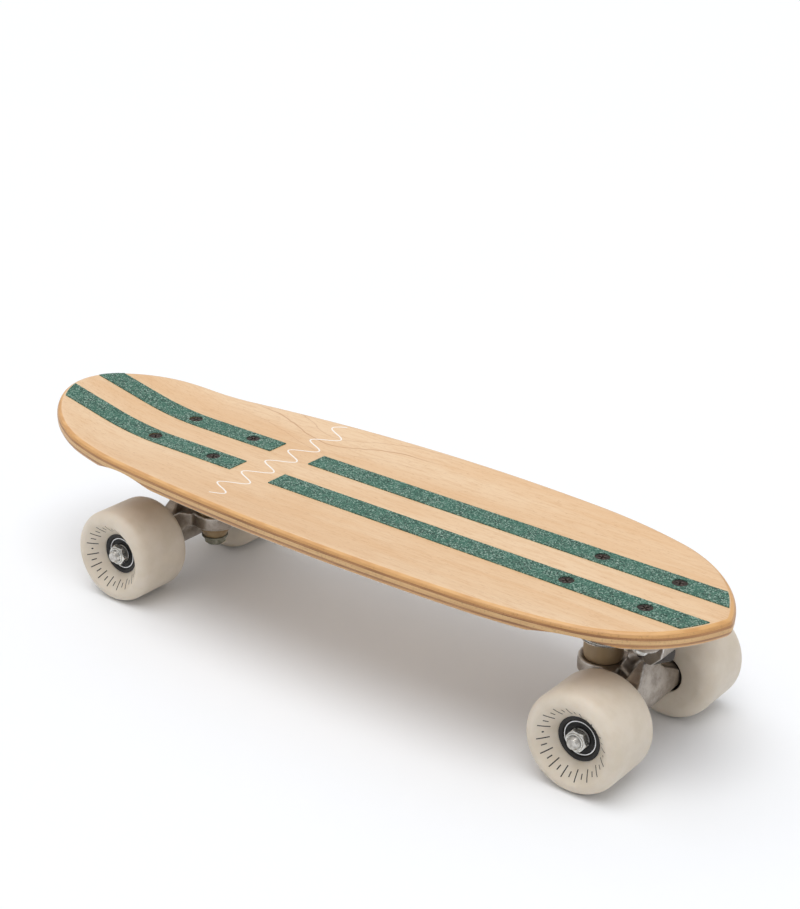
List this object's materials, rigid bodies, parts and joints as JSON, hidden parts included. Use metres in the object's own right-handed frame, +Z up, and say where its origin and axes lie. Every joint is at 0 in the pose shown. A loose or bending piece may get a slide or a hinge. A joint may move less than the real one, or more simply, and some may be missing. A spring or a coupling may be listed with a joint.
{
  "type": "skateboard",
  "caption": "Small cruiser skateboard with a laminated maple deck, kick tail, grip-tape stripes, sprung steering trucks and wide soft wheels on sealed bearings.",
  "frame": {"origin": "middle of the board on the floor, under the middle of its length and width", "axes": "+X to the nose, +Y to the left of a rider who faces the nose, +Z up"},
  "size_m": [0.531, 0.172, 0.1176],
  "materials": {
    "maple_face": "satin clear lacquer",
    "maple_long_ply": "satin lacquered edge",
    "maple_cross_ply": "satin lacquered edge, end grain",
    "grip_tape": "coarse green grit",
    "black_steel": "black oxide",
    "zinc_steel": "bright zinc plate",
    "riser_rubber": "matte",
    "cast_alloy": "tumbled satin casting",
    "pivot_urethane": "matte",
    "upper_bushing_urethane": "satin olive",
    "lower_bushing_urethane": "satin tan",
    "kingpin_steel": "oiled steel",
    "axle_steel": "ground steel",
    "wheel_urethane": "matte cream",
    "core_plastic": "matte black",
    "bearing_steel": "polished",
    "seal_rubber": "matte black"
  },
  "bodies": {
    "board": {"deck_ply_1_top": "maple_face", "deck_ply_2": "maple_long_ply", "deck_ply_3_cross": "maple_cross_ply", "deck_ply_4_core": "maple_long_ply", "deck_ply_5_cross": "maple_cross_ply", "deck_ply_6": "maple_long_ply", "deck_ply_7_bottom": "maple_face", "grip_front_left": "grip_tape", "grip_front_right": "grip_tape", "grip_rear_left": "grip_tape", "grip_rear_right": "grip_tape", "deck_bolts": "black_steel", "deck_nuts": "zinc_steel", "front_riser_pad": "riser_rubber", "front_baseplate": "cast_alloy", "front_pivot_cup": "pivot_urethane", "front_kingpin": "kingpin_steel", "front_upper_bushing": "upper_bushing_urethane", "front_lower_bushing": "lower_bushing_urethane", "rear_riser_pad": "riser_rubber", "rear_baseplate": "cast_alloy", "rear_pivot_cup": "pivot_urethane", "rear_kingpin": "kingpin_steel", "rear_upper_bushing": "upper_bushing_urethane", "rear_lower_bushing": "lower_bushing_urethane", "cup_washers": "zinc_steel", "lower_washers": "zinc_steel", "kingpin_nuts": "zinc_steel"},
    "front_truck": {"front_hanger": "cast_alloy", "front_axle": "axle_steel", "front_axle_nuts": "zinc_steel", "front_speed_washers": "zinc_steel", "front_bearing_spacers": "zinc_steel", "front_bearing_inner_rings": "bearing_steel"},
    "front_left_wheel": {"front_left_wheel": "wheel_urethane", "front_left_wheel_core": "core_plastic", "front_left_bearing_outer_rings": "bearing_steel", "front_left_bearing_seals": "seal_rubber"},
    "front_left_ball_set": {"front_left_bearing_balls": "bearing_steel"},
    "front_right_wheel": {"front_right_wheel": "wheel_urethane", "front_right_wheel_core": "core_plastic", "front_right_bearing_outer_rings": "bearing_steel", "front_right_bearing_seals": "seal_rubber"},
    "front_right_ball_set": {"front_right_bearing_balls": "bearing_steel"},
    "rear_truck": {"rear_hanger": "cast_alloy", "rear_axle": "axle_steel", "rear_axle_nuts": "zinc_steel", "rear_speed_washers": "zinc_steel", "rear_bearing_spacers": "zinc_steel", "rear_bearing_inner_rings": "bearing_steel"},
    "rear_left_wheel": {"rear_left_wheel": "wheel_urethane", "rear_left_wheel_core": "core_plastic", "rear_left_bearing_outer_rings": "bearing_steel", "rear_left_bearing_seals": "seal_rubber"},
    "rear_left_ball_set": {"rear_left_bearing_balls": "bearing_steel"},
    "rear_right_wheel": {"rear_right_wheel": "wheel_urethane", "rear_right_wheel_core": "core_plastic", "rear_right_bearing_outer_rings": "bearing_steel", "rear_right_bearing_seals": "seal_rubber"},
    "rear_right_ball_set": {"rear_right_bearing_balls": "bearing_steel"}
  },
  "joints": [
    {"name": "front_steer", "type": "hinge", "parent": "board", "child": "front_truck", "pos_m": [0.22032, 0, 0.0665], "axis": [0.8621, 0, 0.5068], "range_deg": [-12, 12], "stiffness_Nm_per_rad": 18, "deforming": ["front_upper_bushing", "front_lower_bushing"]},
    {"name": "front_left_wheel_spin", "type": "hinge", "parent": "front_truck", "child": "front_left_wheel", "pos_m": [0.20932, 0.0543, 0.0325], "axis": [0, 1, 0], "continuous": true},
    {"name": "front_left_ball_orbit", "type": "hinge", "parent": "front_truck", "child": "front_left_ball_set", "pos_m": [0.20932, 0.0543, 0.0325], "axis": [0, 1, 0], "continuous": true},
    {"name": "front_right_wheel_spin", "type": "hinge", "parent": "front_truck", "child": "front_right_wheel", "pos_m": [0.20932, -0.0543, 0.0325], "axis": [0, 1, 0], "continuous": true},
    {"name": "front_right_ball_orbit", "type": "hinge", "parent": "front_truck", "child": "front_right_ball_set", "pos_m": [0.20932, -0.0543, 0.0325], "axis": [0, 1, 0], "continuous": true},
    {"name": "rear_steer", "type": "hinge", "parent": "board", "child": "rear_truck", "pos_m": [-0.17268, 0, 0.0665], "axis": [-0.8621, 0, 0.5068], "range_deg": [-12, 12], "stiffness_Nm_per_rad": 18, "deforming": ["rear_upper_bushing", "rear_lower_bushing"]},
    {"name": "rear_left_wheel_spin", "type": "hinge", "parent": "rear_truck", "child": "rear_left_wheel", "pos_m": [-0.16168, 0.0543, 0.0325], "axis": [0, 1, 0], "continuous": true},
    {"name": "rear_left_ball_orbit", "type": "hinge", "parent": "rear_truck", "child": "rear_left_ball_set", "pos_m": [-0.16168, 0.0543, 0.0325], "axis": [0, 1, 0], "continuous": true},
    {"name": "rear_right_wheel_spin", "type": "hinge", "parent": "rear_truck", "child": "rear_right_wheel", "pos_m": [-0.16168, -0.0543, 0.0325], "axis": [0, 1, 0], "continuous": true},
    {"name": "rear_right_ball_orbit", "type": "hinge", "parent": "rear_truck", "child": "rear_right_ball_set", "pos_m": [-0.16168, -0.0543, 0.0325], "axis": [0, 1, 0], "continuous": true}
  ],
  "couplings": [
    {"joint": "front_left_ball_orbit", "follows": "front_left_wheel_spin", "ratio": 0.6323},
    {"joint": "front_right_ball_orbit", "follows": "front_right_wheel_spin", "ratio": 0.6323},
    {"joint": "rear_left_ball_orbit", "follows": "rear_left_wheel_spin", "ratio": 0.6323},
    {"joint": "rear_right_ball_orbit", "follows": "rear_right_wheel_spin", "ratio": 0.6323}
  ]
}
